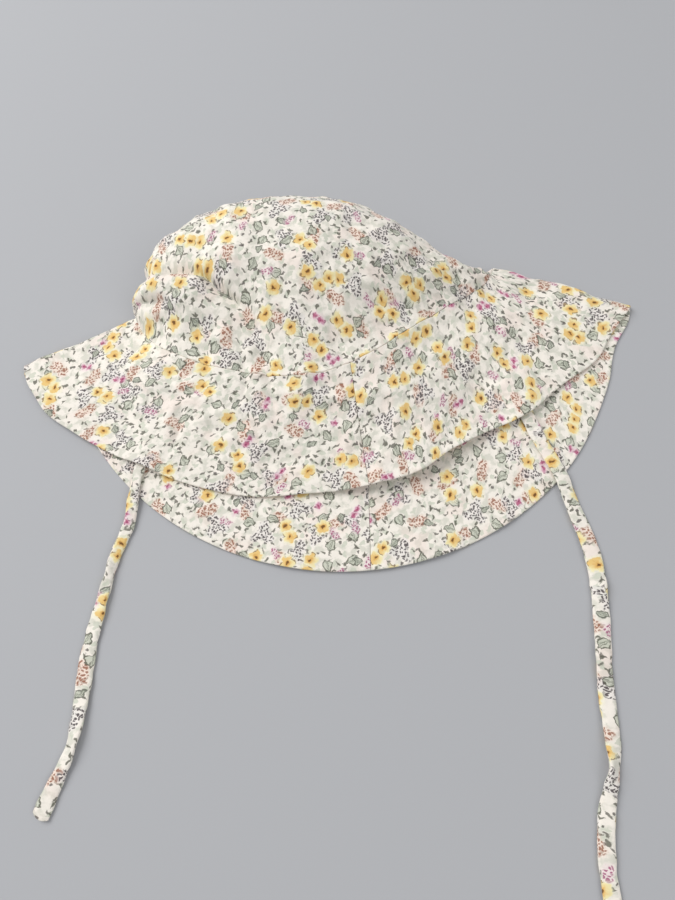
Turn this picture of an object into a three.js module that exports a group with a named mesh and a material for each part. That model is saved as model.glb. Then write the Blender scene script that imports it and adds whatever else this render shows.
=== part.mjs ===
// Baby's cotton sun hat, lying folded on a table with its front up and its two ties laid out in front.
// Millimetres, +Z up, +Y towards the crown, -Y towards the face opening. The table is z = 0, and the origin
// lies under the middle of the hat without its ties.
//
// The hat is a crown bag and a brim. Both are folded at the left and right sides, so each has an upper layer
// (the front of the hat) over a lower layer (its back), with the open mouth between them facing -Y.

import * as THREE from 'three';

// The rows of a table, each as an object with the table's column names
function withNames(names, rows) {
  return rows.map((row) => Object.fromEntries(names.map((name, index) => [name, row[index]])));
}

// From the point that the sizes below are measured from to the middle of the hat's box
const TO_MIDDLE = { x: 0.118, y: 3.883 };

// Cloth
const CROWN_WALL = 1.4;
const BRIM_WALL = 1.6;
const SEAM_GAP = 0.9;
const CENTRE_SEAM_GAP = 0.4;

// Lower brim: a flat sector about the point where the two side folds would meet
const BRIM_CENTRE = { x: 3, y: 42.7 };
const BRIM_RADIUS = 149;
const HEAD_SEAM_RADIUS = 89;
const LEFT_TIP = { angle: -76.1, reach: 20.5, bendFrom: -57 };
const RIGHT_TIP = { angle: 88.5, reach: 9.6, bendFrom: 74 };
const LEFT_SEAM_END = { angle: -82, reach: 20.1, bendFrom: -50 };
const RIGHT_SEAM_END = { angle: 101.3, reach: 2.2, bendFrom: 80 };

// Upper brim, from the left fold to the right fold: head seam and outer edge, at the middle of the cloth.
// Counted from 0, a tie comes out under the raised edge at rows 4 and 12, and the mouth gapes at rows 8 to 10.
const UPPER_BRIM = withNames(['seamX', 'seamY', 'seamZ', 'edgeX', 'edgeY', 'edgeZ'], [
  [-105, 27.5, 5.2, -161.2, 2.2, 3.2],
  [-98.5, 16, 8, -149.5, -22.5, 3],
  [-86, 5, 12, -130, -37, 3],
  [-73, -2, 15.5, -109.5, -48.5, 3.6],
  [-61, -6.5, 17.5, -95, -54.5, 5.4],
  [-46, -10.5, 19, -74, -63, 3.6],
  [-29, -13, 20, -43, -70, 3.4],
  [-11, -12.5, 20.5, -14, -69, 4.2],
  [6, -7, 20.5, 14, -66, 6.2],
  [23, 3, 20, 40, -59, 8.6],
  [39, 14.5, 18, 58, -47, 7.6],
  [54, 26, 15.5, 78, -36, 5],
  [67, 36.5, 13, 97.5, -27, 5.6],
  [78, 45, 10.5, 118, -10, 3.6],
  [86.5, 53.5, 8.5, 141, 8, 3.2],
  [92.5, 60.5, 6.6, 161, 37.5, 3.2],
]);
const BRIM_DRAPE = 1.6;
const BRIM_WIDTH = 60;
const BRIM_HALF_RING = 330;
const BRIM_RINGS = 9;
const BRIM_UPPER_STEPS = 25;
const BRIM_LOWER_STEPS = 20;
const FOLD_STEPS = 3;
// Where the centre seams cross each layer, as a share of the way from the left fold to the right one
const CENTRE_FRONT = 0.54;
const CENTRE_BACK = 0.495;

// Crown, from the head seam to the back: left and right sides, heights of its top and its sides, how far in
// each side's rounding reaches, and how much of the head seam's bow the upper and the lower layer keep
const CROWN = withNames(
  ['leftX', 'leftY', 'rightX', 'rightY', 'top', 'side', 'roundLeft', 'roundRight', 'upperBow', 'lowerBow'],
  [
    [-105, 27.5, 92.5, 60.5, 20, 2.8, 4, 12, 1, 1],
    [-107, 36, 84.5, 58.5, 29, 5.5, 16, 60, 0.66, 0.76],
    [-103.5, 45.5, 73.5, 56, 36, 9, 40, 90, 0.38, 0.54],
    [-101, 55, 62, 60.5, 41, 12, 70, 90, 0.16, 0.36],
    [-95, 66, 51.5, 67.5, 42.5, 13, 72, 85, 0, 0.2],
    [-83.5, 75.5, 39.5, 74.5, 41, 13, 61, 70, 0, 0.1],
    [-67.5, 83.5, 28, 81.5, 36, 13, 48, 50, 0, 0.03],
    [-48.5, 90.5, 16.5, 88.5, 28.5, 13, 32, 32, 0, 0],
    [-30.5, 95, 2, 94.5, 21, 13, 16, 16, 0, 0],
  ],
);
const CROWN_BACK = { x: -13, y: 97.8, z: 13 };
// The underside lies flat, and lifts off the table over this last share of the way to the back
const BACK_LIFT = { from: 0.68, height: 8 };
const UNDER_ROUND = 14;
const CROWN_RINGS = 24;
const CROWN_UPPER_STEPS = 34;
const CROWN_LOWER_STEPS = 24;
// The seam's own height gives way to the crown's over this first share of the way to the back
const SEAM_BLEND = 0.2;

// Creases and dents pressed into the crown's upper layer, each along a short bent line
const CROWN_FOLDS = [
  { fromX: -88, fromY: 60, midX: -60, midY: 33, toX: -41, toY: 0, depth: 7, width: 8 },
  { fromX: 40, fromY: 74, midX: 54, midY: 56, toX: 68, toY: 42, depth: 5, width: 9 },
  { fromX: -104, fromY: 36, midX: -96, midY: 35, toX: -84, toY: 33, depth: 4, width: 4 },
];
const FOLD_LINE_STEPS = 16;

// Ties: flat cotton tubes from under the brim to their cut ends, at the middle of the cord
const TIE_LEFT_WIDTH = 6.6;
const TIE_RIGHT_WIDTH = 7.6;
const TIE_THICKNESS = 1.6;
const OVER_BRIM = BRIM_WALL + 0.35 + TIE_THICKNESS / 2;
const ON_TABLE = TIE_THICKNESS / 2 + 0.1;
const TIE_LEFT_STEPS = 32;
const TIE_RIGHT_STEPS = 40;
const TIE_LEFT_ROUTE = [
  [-94, -5, OVER_BRIM], [-94.5, -20, OVER_BRIM], [-95, -36, OVER_BRIM], [-95.5, -53.5, OVER_BRIM],
  [-96.5, -64, OVER_BRIM], [-97, -72, OVER_BRIM - 0.3], [-97.5, -82, ON_TABLE + 0.2], [-99.5, -90, ON_TABLE],
  [-102, -98, ON_TABLE], [-104, -109, ON_TABLE], [-106, -121, ON_TABLE], [-107.8, -133, ON_TABLE],
  [-108.8, -145, ON_TABLE], [-109, -157, ON_TABLE], [-109.3, -169, ON_TABLE], [-110.3, -179, ON_TABLE],
  [-113, -188.5, ON_TABLE], [-116.5, -198, ON_TABLE], [-119.6, -207, ON_TABLE],
];
const TIE_RIGHT_ROUTE = [
  [88, 8, OVER_BRIM], [92, -8, OVER_BRIM], [97, -25, OVER_BRIM], [102, -39, OVER_BRIM],
  [107, -50.5, OVER_BRIM], [111, -60, OVER_BRIM - 0.2], [113.5, -70, ON_TABLE + 0.3], [116, -79, ON_TABLE],
  [119, -89, ON_TABLE], [121, -100, ON_TABLE], [121.3, -114, ON_TABLE], [120.5, -129, ON_TABLE],
  [119.2, -143, ON_TABLE], [118, -157, ON_TABLE], [117.8, -170, ON_TABLE], [117.3, -182, ON_TABLE],
  [115, -193, ON_TABLE], [111.5, -203, ON_TABLE], [109.3, -214, ON_TABLE], [108.4, -226, ON_TABLE],
  [108.8, -238, ON_TABLE], [110, -250, ON_TABLE],
];

const CLOTH = { color: 0xe9e6d6, roughness: 0.95, metalness: 0 };

const radians = THREE.MathUtils.degToRad;
const lerp = THREE.MathUtils.lerp;
const clamp = THREE.MathUtils.clamp;

// A smooth curve through one column of a table, as a function of 0 to 1
function column(rows, read) {
  const points = rows.map((row) => new THREE.Vector3(...read(row)));
  const curve = new THREE.CatmullRomCurve3(points, false, 'catmullrom', 0.5);
  return (t) => curve.getPoint(clamp(t, 0, 1));
}

// 0 at the edge of a rounding, 1 from its reach inwards, with a quarter circle between
function rounding(distance, reach) {
  const outside = 1 - Math.min(distance / reach, 1);
  return Math.sqrt(1 - outside * outside);
}

// Extra radius towards the end of an arc, eased in from the angle where it leaves the circle
function endReach(angle, end) {
  const share = clamp((angle - end.bendFrom) / (end.angle - end.bendFrom), 0, 1);
  return end.reach * share * share * (3 - 2 * share);
}

// A point of the flat lower layer, on the circle of a seam or an edge that runs out to two ends
function arcPoint(t, radius, leftEnd, rightEnd) {
  const angle = lerp(leftEnd.angle, rightEnd.angle, t);
  const reach = radius + endReach(angle, leftEnd) + endReach(angle, rightEnd);
  const x = BRIM_CENTRE.x + reach * Math.sin(radians(angle));
  const y = BRIM_CENTRE.y - reach * Math.cos(radians(angle));
  return new THREE.Vector3(x, y, 0);
}

const upperSeam = column(UPPER_BRIM, (row) => [row.seamX, row.seamY, row.seamZ]);
const upperEdge = column(UPPER_BRIM, (row) => [row.edgeX, row.edgeY, row.edgeZ]);
const lowerSeam = (t) => arcPoint(t, HEAD_SEAM_RADIUS, LEFT_SEAM_END, RIGHT_SEAM_END);
const lowerEdge = (t) => arcPoint(t, BRIM_RADIUS, LEFT_TIP, RIGHT_TIP);

// Middle of the brim cloth: along the ring by t, and from the head seam to the outer edge by s
function upperBrim(t, s) {
  const seam = upperSeam(t);
  const edge = upperEdge(t);
  const point = seam.clone().lerp(edge, s);
  point.z = lerp(seam.z, edge.z, 1 - Math.pow(1 - s, BRIM_DRAPE));
  return point;
}

function lowerBrim(t, s) {
  const point = lowerSeam(t).lerp(lowerEdge(t), s);
  point.z = BRIM_WALL / 2;
  return point;
}

// The half turn of cloth at a side fold, from the upper layer down to the lower one
function sideRoll(t, s, steps) {
  const top = upperBrim(t, s);
  const bottom = lowerBrim(t, s);
  const along = upperBrim(t, 1).sub(upperBrim(t, 0)).setZ(0).normalize();
  const outward = new THREE.Vector3(-along.y, along.x, 0);
  if (outward.y < 0) outward.negate();
  const middle = top.clone().add(bottom).multiplyScalar(0.5);
  const radius = (top.z - bottom.z) / 2;
  return Array.from({ length: steps }, (_, index) => {
    const turn = (Math.PI * (index + 1)) / (steps + 1);
    const lean = top.clone().sub(bottom).setZ(0).multiplyScalar(Math.cos(turn) / 2);
    return middle.clone().add(lean)
      .addScaledVector(outward, radius * Math.sin(turn))
      .setZ(middle.z + radius * Math.cos(turn));
  });
}

// A closed wall from a grid of points on the middle of the cloth. Rows run from one free rim to the other,
// and columns across; a ring of columns closes on itself, and a pole closes the last row.
function clothWall(rows, thickness, { ring = false, pole = null } = {}) {
  const height = rows.length;
  const width = rows[0].length;
  const at = (r, c) => rows[clamp(r, 0, height - 1)][ring ? (c + width) % width : clamp(c, 0, width - 1)];
  const positions = [];
  const skins = [1, -1].map((side) => {
    const first = positions.length / 3;
    for (let r = 0; r < height; r += 1) {
      for (let c = 0; c < width; c += 1) {
        const across = at(r, c + 1).clone().sub(at(r, c - 1));
        const down = at(r + 1, c).clone().sub(at(r - 1, c));
        const normal = across.cross(down).normalize();
        const point = at(r, c).clone().addScaledVector(normal, (side * thickness) / 2);
        positions.push(point.x, point.y, point.z);
      }
    }
    if (pole) {
      const point = pole.point.clone().addScaledVector(pole.normal, (side * thickness) / 2);
      positions.push(point.x, point.y, point.z);
    }
    return { vertex: (r, c) => first + r * width + (ring ? c % width : c), pole: first + width * height };
  });
  const [outer, inner] = skins;
  const triangles = [];
  const quad = (a, b, c, d) => triangles.push(a, b, c, a, c, d);
  const columns = ring ? width : width - 1;
  for (let c = 0; c < columns; c += 1) {
    for (let r = 0; r < height - 1; r += 1) {
      quad(outer.vertex(r, c), outer.vertex(r, c + 1), outer.vertex(r + 1, c + 1), outer.vertex(r + 1, c));
      quad(inner.vertex(r, c), inner.vertex(r + 1, c), inner.vertex(r + 1, c + 1), inner.vertex(r, c + 1));
    }
    quad(outer.vertex(0, c + 1), outer.vertex(0, c), inner.vertex(0, c), inner.vertex(0, c + 1));
    const last = height - 1;
    if (pole) {
      triangles.push(outer.vertex(last, c), outer.vertex(last, c + 1), outer.pole);
      triangles.push(inner.vertex(last, c + 1), inner.vertex(last, c), inner.pole);
    } else {
      const next = c + 1;
      quad(outer.vertex(last, c), outer.vertex(last, next), inner.vertex(last, next), inner.vertex(last, c));
    }
  }
  if (!ring) {
    for (let r = 0; r < height - 1; r += 1) {
      quad(outer.vertex(r, 0), outer.vertex(r + 1, 0), inner.vertex(r + 1, 0), inner.vertex(r, 0));
      const end = width - 1;
      quad(outer.vertex(r + 1, end), outer.vertex(r, end), inner.vertex(r, end), inner.vertex(r + 1, end));
    }
  }
  const geometry = new THREE.BufferGeometry();
  geometry.setAttribute('position', new THREE.Float32BufferAttribute(positions, 3));
  geometry.setIndex(triangles);
  geometry.computeVertexNormals();
  return geometry;
}

function named(name, geometry) {
  const mesh = new THREE.Mesh(geometry, new THREE.MeshStandardMaterial(CLOTH));
  mesh.name = name;
  return mesh;
}

// One half of the brim: from the centre front seam out to a side fold, round it, and back under to the
// centre back seam
function brimHalf(side) {
  const left = side === 'left';
  const foldAt = left ? 0 : 1;
  const seamShare = ((left ? -1 : 1) * CENTRE_SEAM_GAP) / 2 / BRIM_HALF_RING;
  const upperStart = CENTRE_FRONT + seamShare;
  const lowerEnd = CENTRE_BACK + seamShare;
  const rows = Array.from({ length: BRIM_RINGS + 1 }, (_, ring) => {
    const s = lerp(SEAM_GAP / BRIM_WIDTH, 1, ring / BRIM_RINGS);
    const line = [];
    for (let step = 0; step <= BRIM_UPPER_STEPS; step += 1) {
      line.push(upperBrim(lerp(upperStart, foldAt, step / BRIM_UPPER_STEPS), s));
    }
    line.push(...sideRoll(foldAt, s, FOLD_STEPS));
    for (let step = 0; step <= BRIM_LOWER_STEPS; step += 1) {
      line.push(lowerBrim(lerp(foldAt, lowerEnd, step / BRIM_LOWER_STEPS), s));
    }
    return left ? line.reverse() : line;
  });
  return clothWall(rows.reverse(), BRIM_WALL);
}

// How deep the crown's creases press in at a place
function foldDepth(x, y) {
  return CROWN_FOLDS.reduce((sum, fold) => {
    const line = new THREE.QuadraticBezierCurve(
      new THREE.Vector2(fold.fromX, fold.fromY),
      new THREE.Vector2(fold.midX, fold.midY),
      new THREE.Vector2(fold.toX, fold.toY),
    );
    const here = new THREE.Vector2(x, y);
    const near = Math.min(...line.getPoints(FOLD_LINE_STEPS).map((point) => point.distanceTo(here)));
    return sum + fold.depth * Math.exp(-((near / fold.width) ** 2));
  }, 0);
}

// The crown: rings from the head seam to the back, each a domed upper layer over a flat lower one. Its left
// side is round like a cushion, and its right shoulder slopes down flat to the fold.
function crown() {
  const lefts = column(CROWN, (row) => [row.leftX, row.leftY, row.side]);
  const rights = column(CROWN, (row) => [row.rightX, row.rightY, row.top]);
  const reaches = column(CROWN, (row) => [row.roundLeft, row.roundRight, 0]);
  const bows = column(CROWN, (row) => [row.upperBow, row.lowerBow, 0]);
  const share = (step, steps) => (1 - Math.cos((Math.PI * step) / steps)) / 2;
  const seamLeft = lefts(0);
  const seamRight = rights(0);
  const rows = Array.from({ length: CROWN_RINGS }, (_, ring) => {
    const s = ring / (CROWN_RINGS - 1);
    const left = lefts(s);
    const right = rights(s);
    const reach = reaches(s);
    const bow = bows(s);
    const chord = Math.hypot(right.x - left.x, right.y - left.y);
    const shoulder = lerp(2, 1, clamp(2 * s, 0, 1));
    const domed = clamp(s / SEAM_BLEND, 0, 1);
    const lift = clamp((s - BACK_LIFT.from) / (1 - BACK_LIFT.from), 0, 1);
    const under = CROWN_WALL / 2 + BACK_LIFT.height * lift * lift;
    const place = (t, seam, keep) => {
      const bowed = seam.clone().sub(seamLeft.clone().lerp(seamRight, t)).multiplyScalar(keep);
      return new THREE.Vector3(lerp(left.x, right.x, t) + bowed.x, lerp(left.y, right.y, t) + bowed.y, 0);
    };
    const line = [];
    for (let step = 0; step <= CROWN_UPPER_STEPS; step += 1) {
      const t = share(step, CROWN_UPPER_STEPS);
      const point = place(t, upperSeam(t), bow.x);
      const fromLeft = rounding(t * chord, Math.min(reach.x, chord / 2));
      const fromRight = rounding((1 - t) * chord, Math.min(reach.y, chord / 2)) ** shoulder;
      const rise = fromLeft * fromRight;
      const height = lerp(upperSeam(t).z, right.z, domed) - foldDepth(point.x, point.y) * domed;
      point.z = lerp(left.z, height, rise);
      line.push(point);
    }
    for (let step = 1; step < CROWN_LOWER_STEPS; step += 1) {
      const t = 1 - share(step, CROWN_LOWER_STEPS);
      const point = place(t, lowerSeam(t), bow.y);
      point.z = lerp(left.z, under, rounding(Math.min(t, 1 - t) * chord, UNDER_ROUND));
      line.push(point);
    }
    return line.reverse();
  });
  const pole = {
    point: new THREE.Vector3(CROWN_BACK.x, CROWN_BACK.y, CROWN_BACK.z),
    normal: new THREE.Vector3(0, 1, 0),
  };
  return clothWall(rows, CROWN_WALL, { ring: true, pole });
}

// A flat tie laid along its route: the section's x is its thickness, upwards, and its y its width
function tie(route, width, steps) {
  const path = new THREE.CatmullRomCurve3(route.map((point) => new THREE.Vector3(...point)));
  const side = width / 2;
  const top = TIE_THICKNESS / 2;
  const shoulder = side - TIE_THICKNESS * 0.6;
  const cheek = TIE_THICKNESS * 0.3;
  const section = new THREE.Shape([
    new THREE.Vector2(top, -shoulder), new THREE.Vector2(top, shoulder),
    new THREE.Vector2(cheek, side), new THREE.Vector2(-cheek, side),
    new THREE.Vector2(-top, shoulder), new THREE.Vector2(-top, -shoulder),
    new THREE.Vector2(-cheek, -side), new THREE.Vector2(cheek, -side),
  ]);
  return new THREE.ExtrudeGeometry(section, { steps, extrudePath: path, bevelEnabled: false });
}

const hat = new THREE.Group();
hat.add(named('crown', crown()));
hat.add(named('brim_left', brimHalf('left')));
hat.add(named('brim_right', brimHalf('right')));
hat.add(named('tie_left', tie(TIE_LEFT_ROUTE, TIE_LEFT_WIDTH, TIE_LEFT_STEPS)));
hat.add(named('tie_right', tie(TIE_RIGHT_ROUTE, TIE_RIGHT_WIDTH, TIE_RIGHT_STEPS)));
hat.position.set(TO_MIDDLE.x, TO_MIDDLE.y, 0);

const group = new THREE.Group();
group.add(hat);

export default group;
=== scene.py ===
"""Baby's cotton sun hat, lying folded on a table with its front up and its two ties laid out in front."""

import math

import bpy
import numpy as np
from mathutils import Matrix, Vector


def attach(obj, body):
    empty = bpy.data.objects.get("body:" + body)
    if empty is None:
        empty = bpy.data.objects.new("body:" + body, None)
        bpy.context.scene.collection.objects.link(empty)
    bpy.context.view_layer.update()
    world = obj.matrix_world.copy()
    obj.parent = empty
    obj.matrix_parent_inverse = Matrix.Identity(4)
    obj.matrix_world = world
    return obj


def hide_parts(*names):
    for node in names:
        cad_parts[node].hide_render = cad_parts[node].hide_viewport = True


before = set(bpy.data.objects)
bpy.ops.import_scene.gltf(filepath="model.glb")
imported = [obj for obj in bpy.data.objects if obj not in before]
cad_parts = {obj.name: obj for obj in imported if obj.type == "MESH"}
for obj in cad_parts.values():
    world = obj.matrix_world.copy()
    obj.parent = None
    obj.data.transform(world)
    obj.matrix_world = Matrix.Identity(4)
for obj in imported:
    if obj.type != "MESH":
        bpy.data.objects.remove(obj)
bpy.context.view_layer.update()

# Camera
# It stands at the table's near side and looks down at the hat at 68 degrees, 325 mm from the place that it
# looks at. The hat's tables are in millimetres from a point that lies HAT_MIDDLE from the frame's origin.
MM = 0.001
HAT_MIDDLE = (0.118, 3.883)
LOOK_AT = (1.5, -45)
CAMERA_ELEVATION = math.radians(68)
CAMERA_DISTANCE = 325
CAMERA_LENS = 26
CAMERA_SENSOR = 36
NEAREST_SEEN = 10
look_at = Vector((LOOK_AT[0] + HAT_MIDDLE[0], LOOK_AT[1] + HAT_MIDDLE[1], 0)) * MM
towards_camera = Vector((0, -math.cos(CAMERA_ELEVATION), math.sin(CAMERA_ELEVATION)))
camera_data = bpy.data.cameras.new("camera")
camera_data.lens = CAMERA_LENS
camera_data.sensor_width = CAMERA_SENSOR
camera_data.clip_start = NEAREST_SEEN * MM
camera = bpy.data.objects.new("camera", camera_data)
camera.location = look_at + CAMERA_DISTANCE * MM * towards_camera
camera.rotation_euler = towards_camera.to_track_quat("Z", "Y").to_euler()
bpy.context.scene.collection.objects.link(camera)
bpy.context.scene.camera = camera


# Printed cotton
# Plain-woven cotton, printed all over with small flowers on ivory: yellow blossoms, small magenta ones, sage
# leaves, dotted charcoal and rust sprigs and loose strokes. Every piece is cut from it, so the print breaks
# at the seams. A piece's map "cloth" gives its place on the flat cloth in millimetres.
# How far the print is shaken off its grids, how far apart the threads are, and the height of the relief
PRINT_SHAKE = 2.6
THREAD_SPACING = 0.5
RELIEF = 0.25


def paint(code):
    """A printing colour from its hex code, as the linear colour that a shader takes."""
    parts = [int(code[i : i + 2], 16) / 255 for i in (0, 2, 4)]
    linear = [part / 12.92 if part <= 0.04045 else ((part + 0.055) / 1.055) ** 2.4 for part in parts]
    return (*linear, 1)


class Wire:
    """One value in a material's node tree. Python's signs between two wires, or a wire and a number, add the
    Math node of that name, so that a motif is written as the formula of its outline."""

    tree = None

    def __init__(self, socket):
        self.socket = socket

    def __add__(self, other):
        return worked_out("ADD", self, other)

    def __sub__(self, other):
        return worked_out("SUBTRACT", self, other)

    def __rsub__(self, other):
        return worked_out("SUBTRACT", other, self)

    def __mul__(self, other):
        return worked_out("MULTIPLY", self, other)

    def __lt__(self, other):
        return worked_out("LESS_THAN", self, other)

    def __gt__(self, other):
        return worked_out("GREATER_THAN", self, other)

    def __abs__(self):
        return worked_out("ABSOLUTE", self)


def node(kind, **settings):
    """A new node of the cloth's tree, with these properties."""
    made = Wire.tree.nodes.new(kind)
    for name, value in settings.items():
        setattr(made, name, value)
    return made


def join(value, socket):
    """Puts a wire, a plain value or the hex code of a colour into a socket."""
    if isinstance(value, Wire):
        Wire.tree.links.new(value.socket, socket)
    elif isinstance(value, str):
        socket.default_value = paint(value)
    else:
        socket.default_value = value


def worked_out(operation, *values):
    """A Math node of these values."""
    made = node("ShaderNodeMath", operation=operation)
    for value, socket in zip(values, made.inputs):
        join(value, socket)
    return Wire(made.outputs[0])


def soft_step(value, start, end):
    """0 before start and 1 after end, or the other way round where start is the larger, with a soft step."""
    made = node("ShaderNodeMapRange", interpolation_type="SMOOTHSTEP")
    low, high = sorted((start, end))
    for socket, number in zip(made.inputs, (value, low, high, float(start > end), float(start <= end))):
        join(number, socket)
    return Wire(made.outputs[0])


def over(ground, ink, share):
    """Ink printed over a ground where share is 1."""
    made = node("ShaderNodeMix", data_type="RGBA", clamp_factor=True)
    join(share, made.inputs[0])
    join(ground, made.inputs[6])
    join(ink, made.inputs[7])
    return Wire(made.outputs[2])


def clouds(place, size, detail):
    """A node of soft clouds of about that size in millimetres, from 0 to 1 round a half."""
    made = node("ShaderNodeTexNoise", noise_dimensions="2D")
    join(place, made.inputs["Vector"])
    made.inputs["Scale"].default_value = 1 / size
    made.inputs["Detail"].default_value = detail
    return made


def vector(operation, first, second):
    """A Vector Math node of two vectors."""
    made = node("ShaderNodeVectorMath", operation=operation)
    join(first, made.inputs[0])
    join(second, made.inputs[1])
    return Wire(made.outputs[0])


class Spot:
    """Where a motif is drawn: its own axes x and y in millimetres, and r and angle, their polar form."""

    def __init__(self, local):
        self.local = local
        axes = node("ShaderNodeSeparateXYZ")
        join(local, axes.inputs[0])
        self.x = Wire(axes.outputs[0])
        self.y = Wire(axes.outputs[1])
        self.r = worked_out("SQRT", self.x * self.x + self.y * self.y)
        self.angle = worked_out("ARCTAN2", self.y, self.x)


class Scatter:
    """A square grid on the cloth with a motif in each square. The grid is turned by turn degrees, and a motif
    is moved and turned by chance within its square. chance, chance_2 and chance_3 are its random numbers."""

    def __init__(self, place, spacing, turn, start, looseness=0.6):
        grid = node("ShaderNodeMapping")
        join(place, grid.inputs["Vector"])
        grid.inputs["Rotation"].default_value = (0, 0, math.radians(turn))
        grid.inputs["Location"].default_value = (start, 1.7 * start, 0)
        on_grid = Wire(grid.outputs[0])
        cells = node("ShaderNodeTexVoronoi", voronoi_dimensions="2D")
        join(on_grid, cells.inputs["Vector"])
        cells.inputs["Scale"].default_value = 1 / spacing
        cells.inputs["Randomness"].default_value = looseness
        numbers = node("ShaderNodeSeparateColor")
        join(Wire(cells.outputs["Color"]), numbers.inputs[0])
        self.chance, self.chance_2, self.chance_3 = (Wire(output) for output in numbers.outputs)
        turned = node("ShaderNodeVectorRotate", rotation_type="Z_AXIS")
        join(vector("SUBTRACT", on_grid, Wire(cells.outputs["Position"])), turned.inputs["Vector"])
        join(self.chance_2 * (2 * math.pi), turned.inputs["Angle"])
        self.local = Wire(turned.outputs[0])

    def spot(self, x=0.0, y=0.0):
        """The motif's own axes, moved by x and y from the middle of its square."""
        return Spot(vector("SUBTRACT", self.local, (x, y, 0)))


def blossom(cloth, spot, present, turn, petals, radius, inks):
    """A blossom printed over the cloth where present is 1. Its outline is radius times (0.76 + 0.24 |cos(half
    the petals x angle)|). One side is pale, the heart is deeper, and short strokes lie along its rim."""
    rich, pale, deep, eye, halo = inks
    lobes = abs(worked_out("COSINE", (spot.angle + turn) * (petals / 2)))
    inside = (lobes * 0.24 + 0.76) * radius - spot.r
    lean = spot.x + spot.y * 0.5
    cloth = over(cloth, halo, soft_step(inside - lean * 0.12, -1.7, 0.3) * present * 0.75)
    pale_side = soft_step(lean, -0.7 * radius, 0.2 * radius)
    between_petals = soft_step(lobes, 0.3, 0.05) * soft_step(spot.r, 0.8 * radius, 0.4 * radius)
    tint = over(rich, pale, pale_side * soft_step(inside, 0.75 * radius, 0.2))
    tint = over(tint, deep, between_petals * 0.5)
    tint = over(tint, deep, soft_step(spot.r, 0.55 * radius, 0.22 * radius) * 0.75)
    tint = over(tint, eye, soft_step(spot.r, 0.28 * radius, 0.15 * radius))
    cloth = over(cloth, tint, soft_step(inside, -0.45, 0.35) * present)
    arcs = soft_step(worked_out("SINE", (spot.angle + turn) * 2 + 0.8), 0.6, 0.85)
    return over(cloth, eye, arcs * soft_step(abs(inside + 0.1), 0.42, 0.2) * present * 0.75)


def leaf(cloth, scatter, share, length, width, fill, line):
    """A leaf with a drawn outline and two veins: half its width at x is width/2 times 1 minus the square of
    2x/length, fuller towards one end, and the whole leaf is bent."""
    spot = scatter.spot()
    along = spot.x * (2 / length)
    bent = spot.y - spot.x * spot.x * 0.07
    inside = (1 - along * along) * worked_out("MAXIMUM", along * 0.45 + 1, 0.3) * (width / 2) - abs(bent)
    present = scatter.chance < share
    cloth = over(cloth, fill, soft_step(inside, -0.3, 0.3) * present * 0.85)
    outline = soft_step(abs(inside - 0.1), 0.46, 0.2)
    vein = soft_step(abs(abs(bent) - 0.32), 0.24, 0.08) * soft_step(inside, 0.1, 0.4)
    return over(cloth, line, worked_out("MAXIMUM", outline, vein * 0.8) * present * 0.85)


def dotted(cloth, scatter, share, radius, dot, ink, ground, rays):
    """A sprig of small dots on a paler ground: a fine scatter of dots inside a spray, whose reach at an angle
    is radius times (0.72 + 0.28 cos(rays x angle))."""
    spot = scatter.spot()
    reach = (worked_out("COSINE", spot.angle * rays) * 0.28 + 0.72) * radius
    present = scatter.chance < share
    spray = soft_step(reach - spot.r, -0.6, 0.3) * present
    cloth = over(cloth, ground, soft_step(reach - spot.r, -1.5, 1) * present * 0.6)
    dots = node("ShaderNodeTexVoronoi", voronoi_dimensions="2D")
    join(spot.local, dots.inputs["Vector"])
    dots.inputs["Scale"].default_value = 1 / dot
    dots.inputs["Randomness"].default_value = 0.8
    return over(cloth, ink, soft_step(Wire(dots.outputs["Distance"]), 0.42, 0.27) * spray * 0.92)


def stroke(cloth, scatter, share, length, width, ink, strength):
    """A short bent stroke: half its width at x is width/2 times 1 minus the square of 2x/length."""
    spot = scatter.spot()
    bent = spot.y - spot.x * spot.x * 0.22
    along = spot.x * (2 / length)
    inside = (1 - along * along) * (width / 2) - abs(bent)
    return over(cloth, ink, soft_step(inside, -0.2, 0.2) * (scatter.chance < share) * strength)


# Motifs in the order in which they are printed: the kind; spacing, turn, start and looseness of its grid; the
# share of squares that hold one; and then what its own function takes
MOTIFS = [
    (stroke, (4.4, 12, 0.0, 0.9), 0.5, 3.8, 2.0, "CDD0BF", 0.8),
    (stroke, (4.6, 37, 3.1, 0.9), 0.6, 2.9, 1.1, "57584A", 0.85),
    (stroke, (5.4, 71, 9.4, 0.9), 0.55, 3.2, 1.0, "66645A", 0.85),
    (stroke, (4.8, 52, 31.0, 0.9), 0.45, 1.5, 1.3, "605A56", 0.85),
    (dotted, (20, 24, 41.0), 0.8, 5.0, 1.4, "9C6A54", "F0D5C4", 2),
    (dotted, (18, 63, 17.0), 0.62, 6.2, 1.4, "4D4546", "ECE6E2", 3),
    (leaf, (13, 8, 23.0), 0.52, 6.2, 4.2, "C9CCBB", "57584A"),
    (leaf, (16, 44, 67.0), 0.42, 4.8, 3.0, "BDC1B0", "62645A"),
    (dotted, (23, 81, 53.0), 0.42, 2.9, 1.3, "A95F7F", "EDD6DA", 2),
]
# Inks of a blossom: petals, their pale side, their heart, the eye and the rim's strokes, and the halo
MAGENTA = ("BC6A87", "D9ABBB", "A85373", "8C4562", "F0DADD")
YELLOW = ("EBC780", "F2E6B2", "DCA85A", "7A5630", "F4EFCF")


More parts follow.
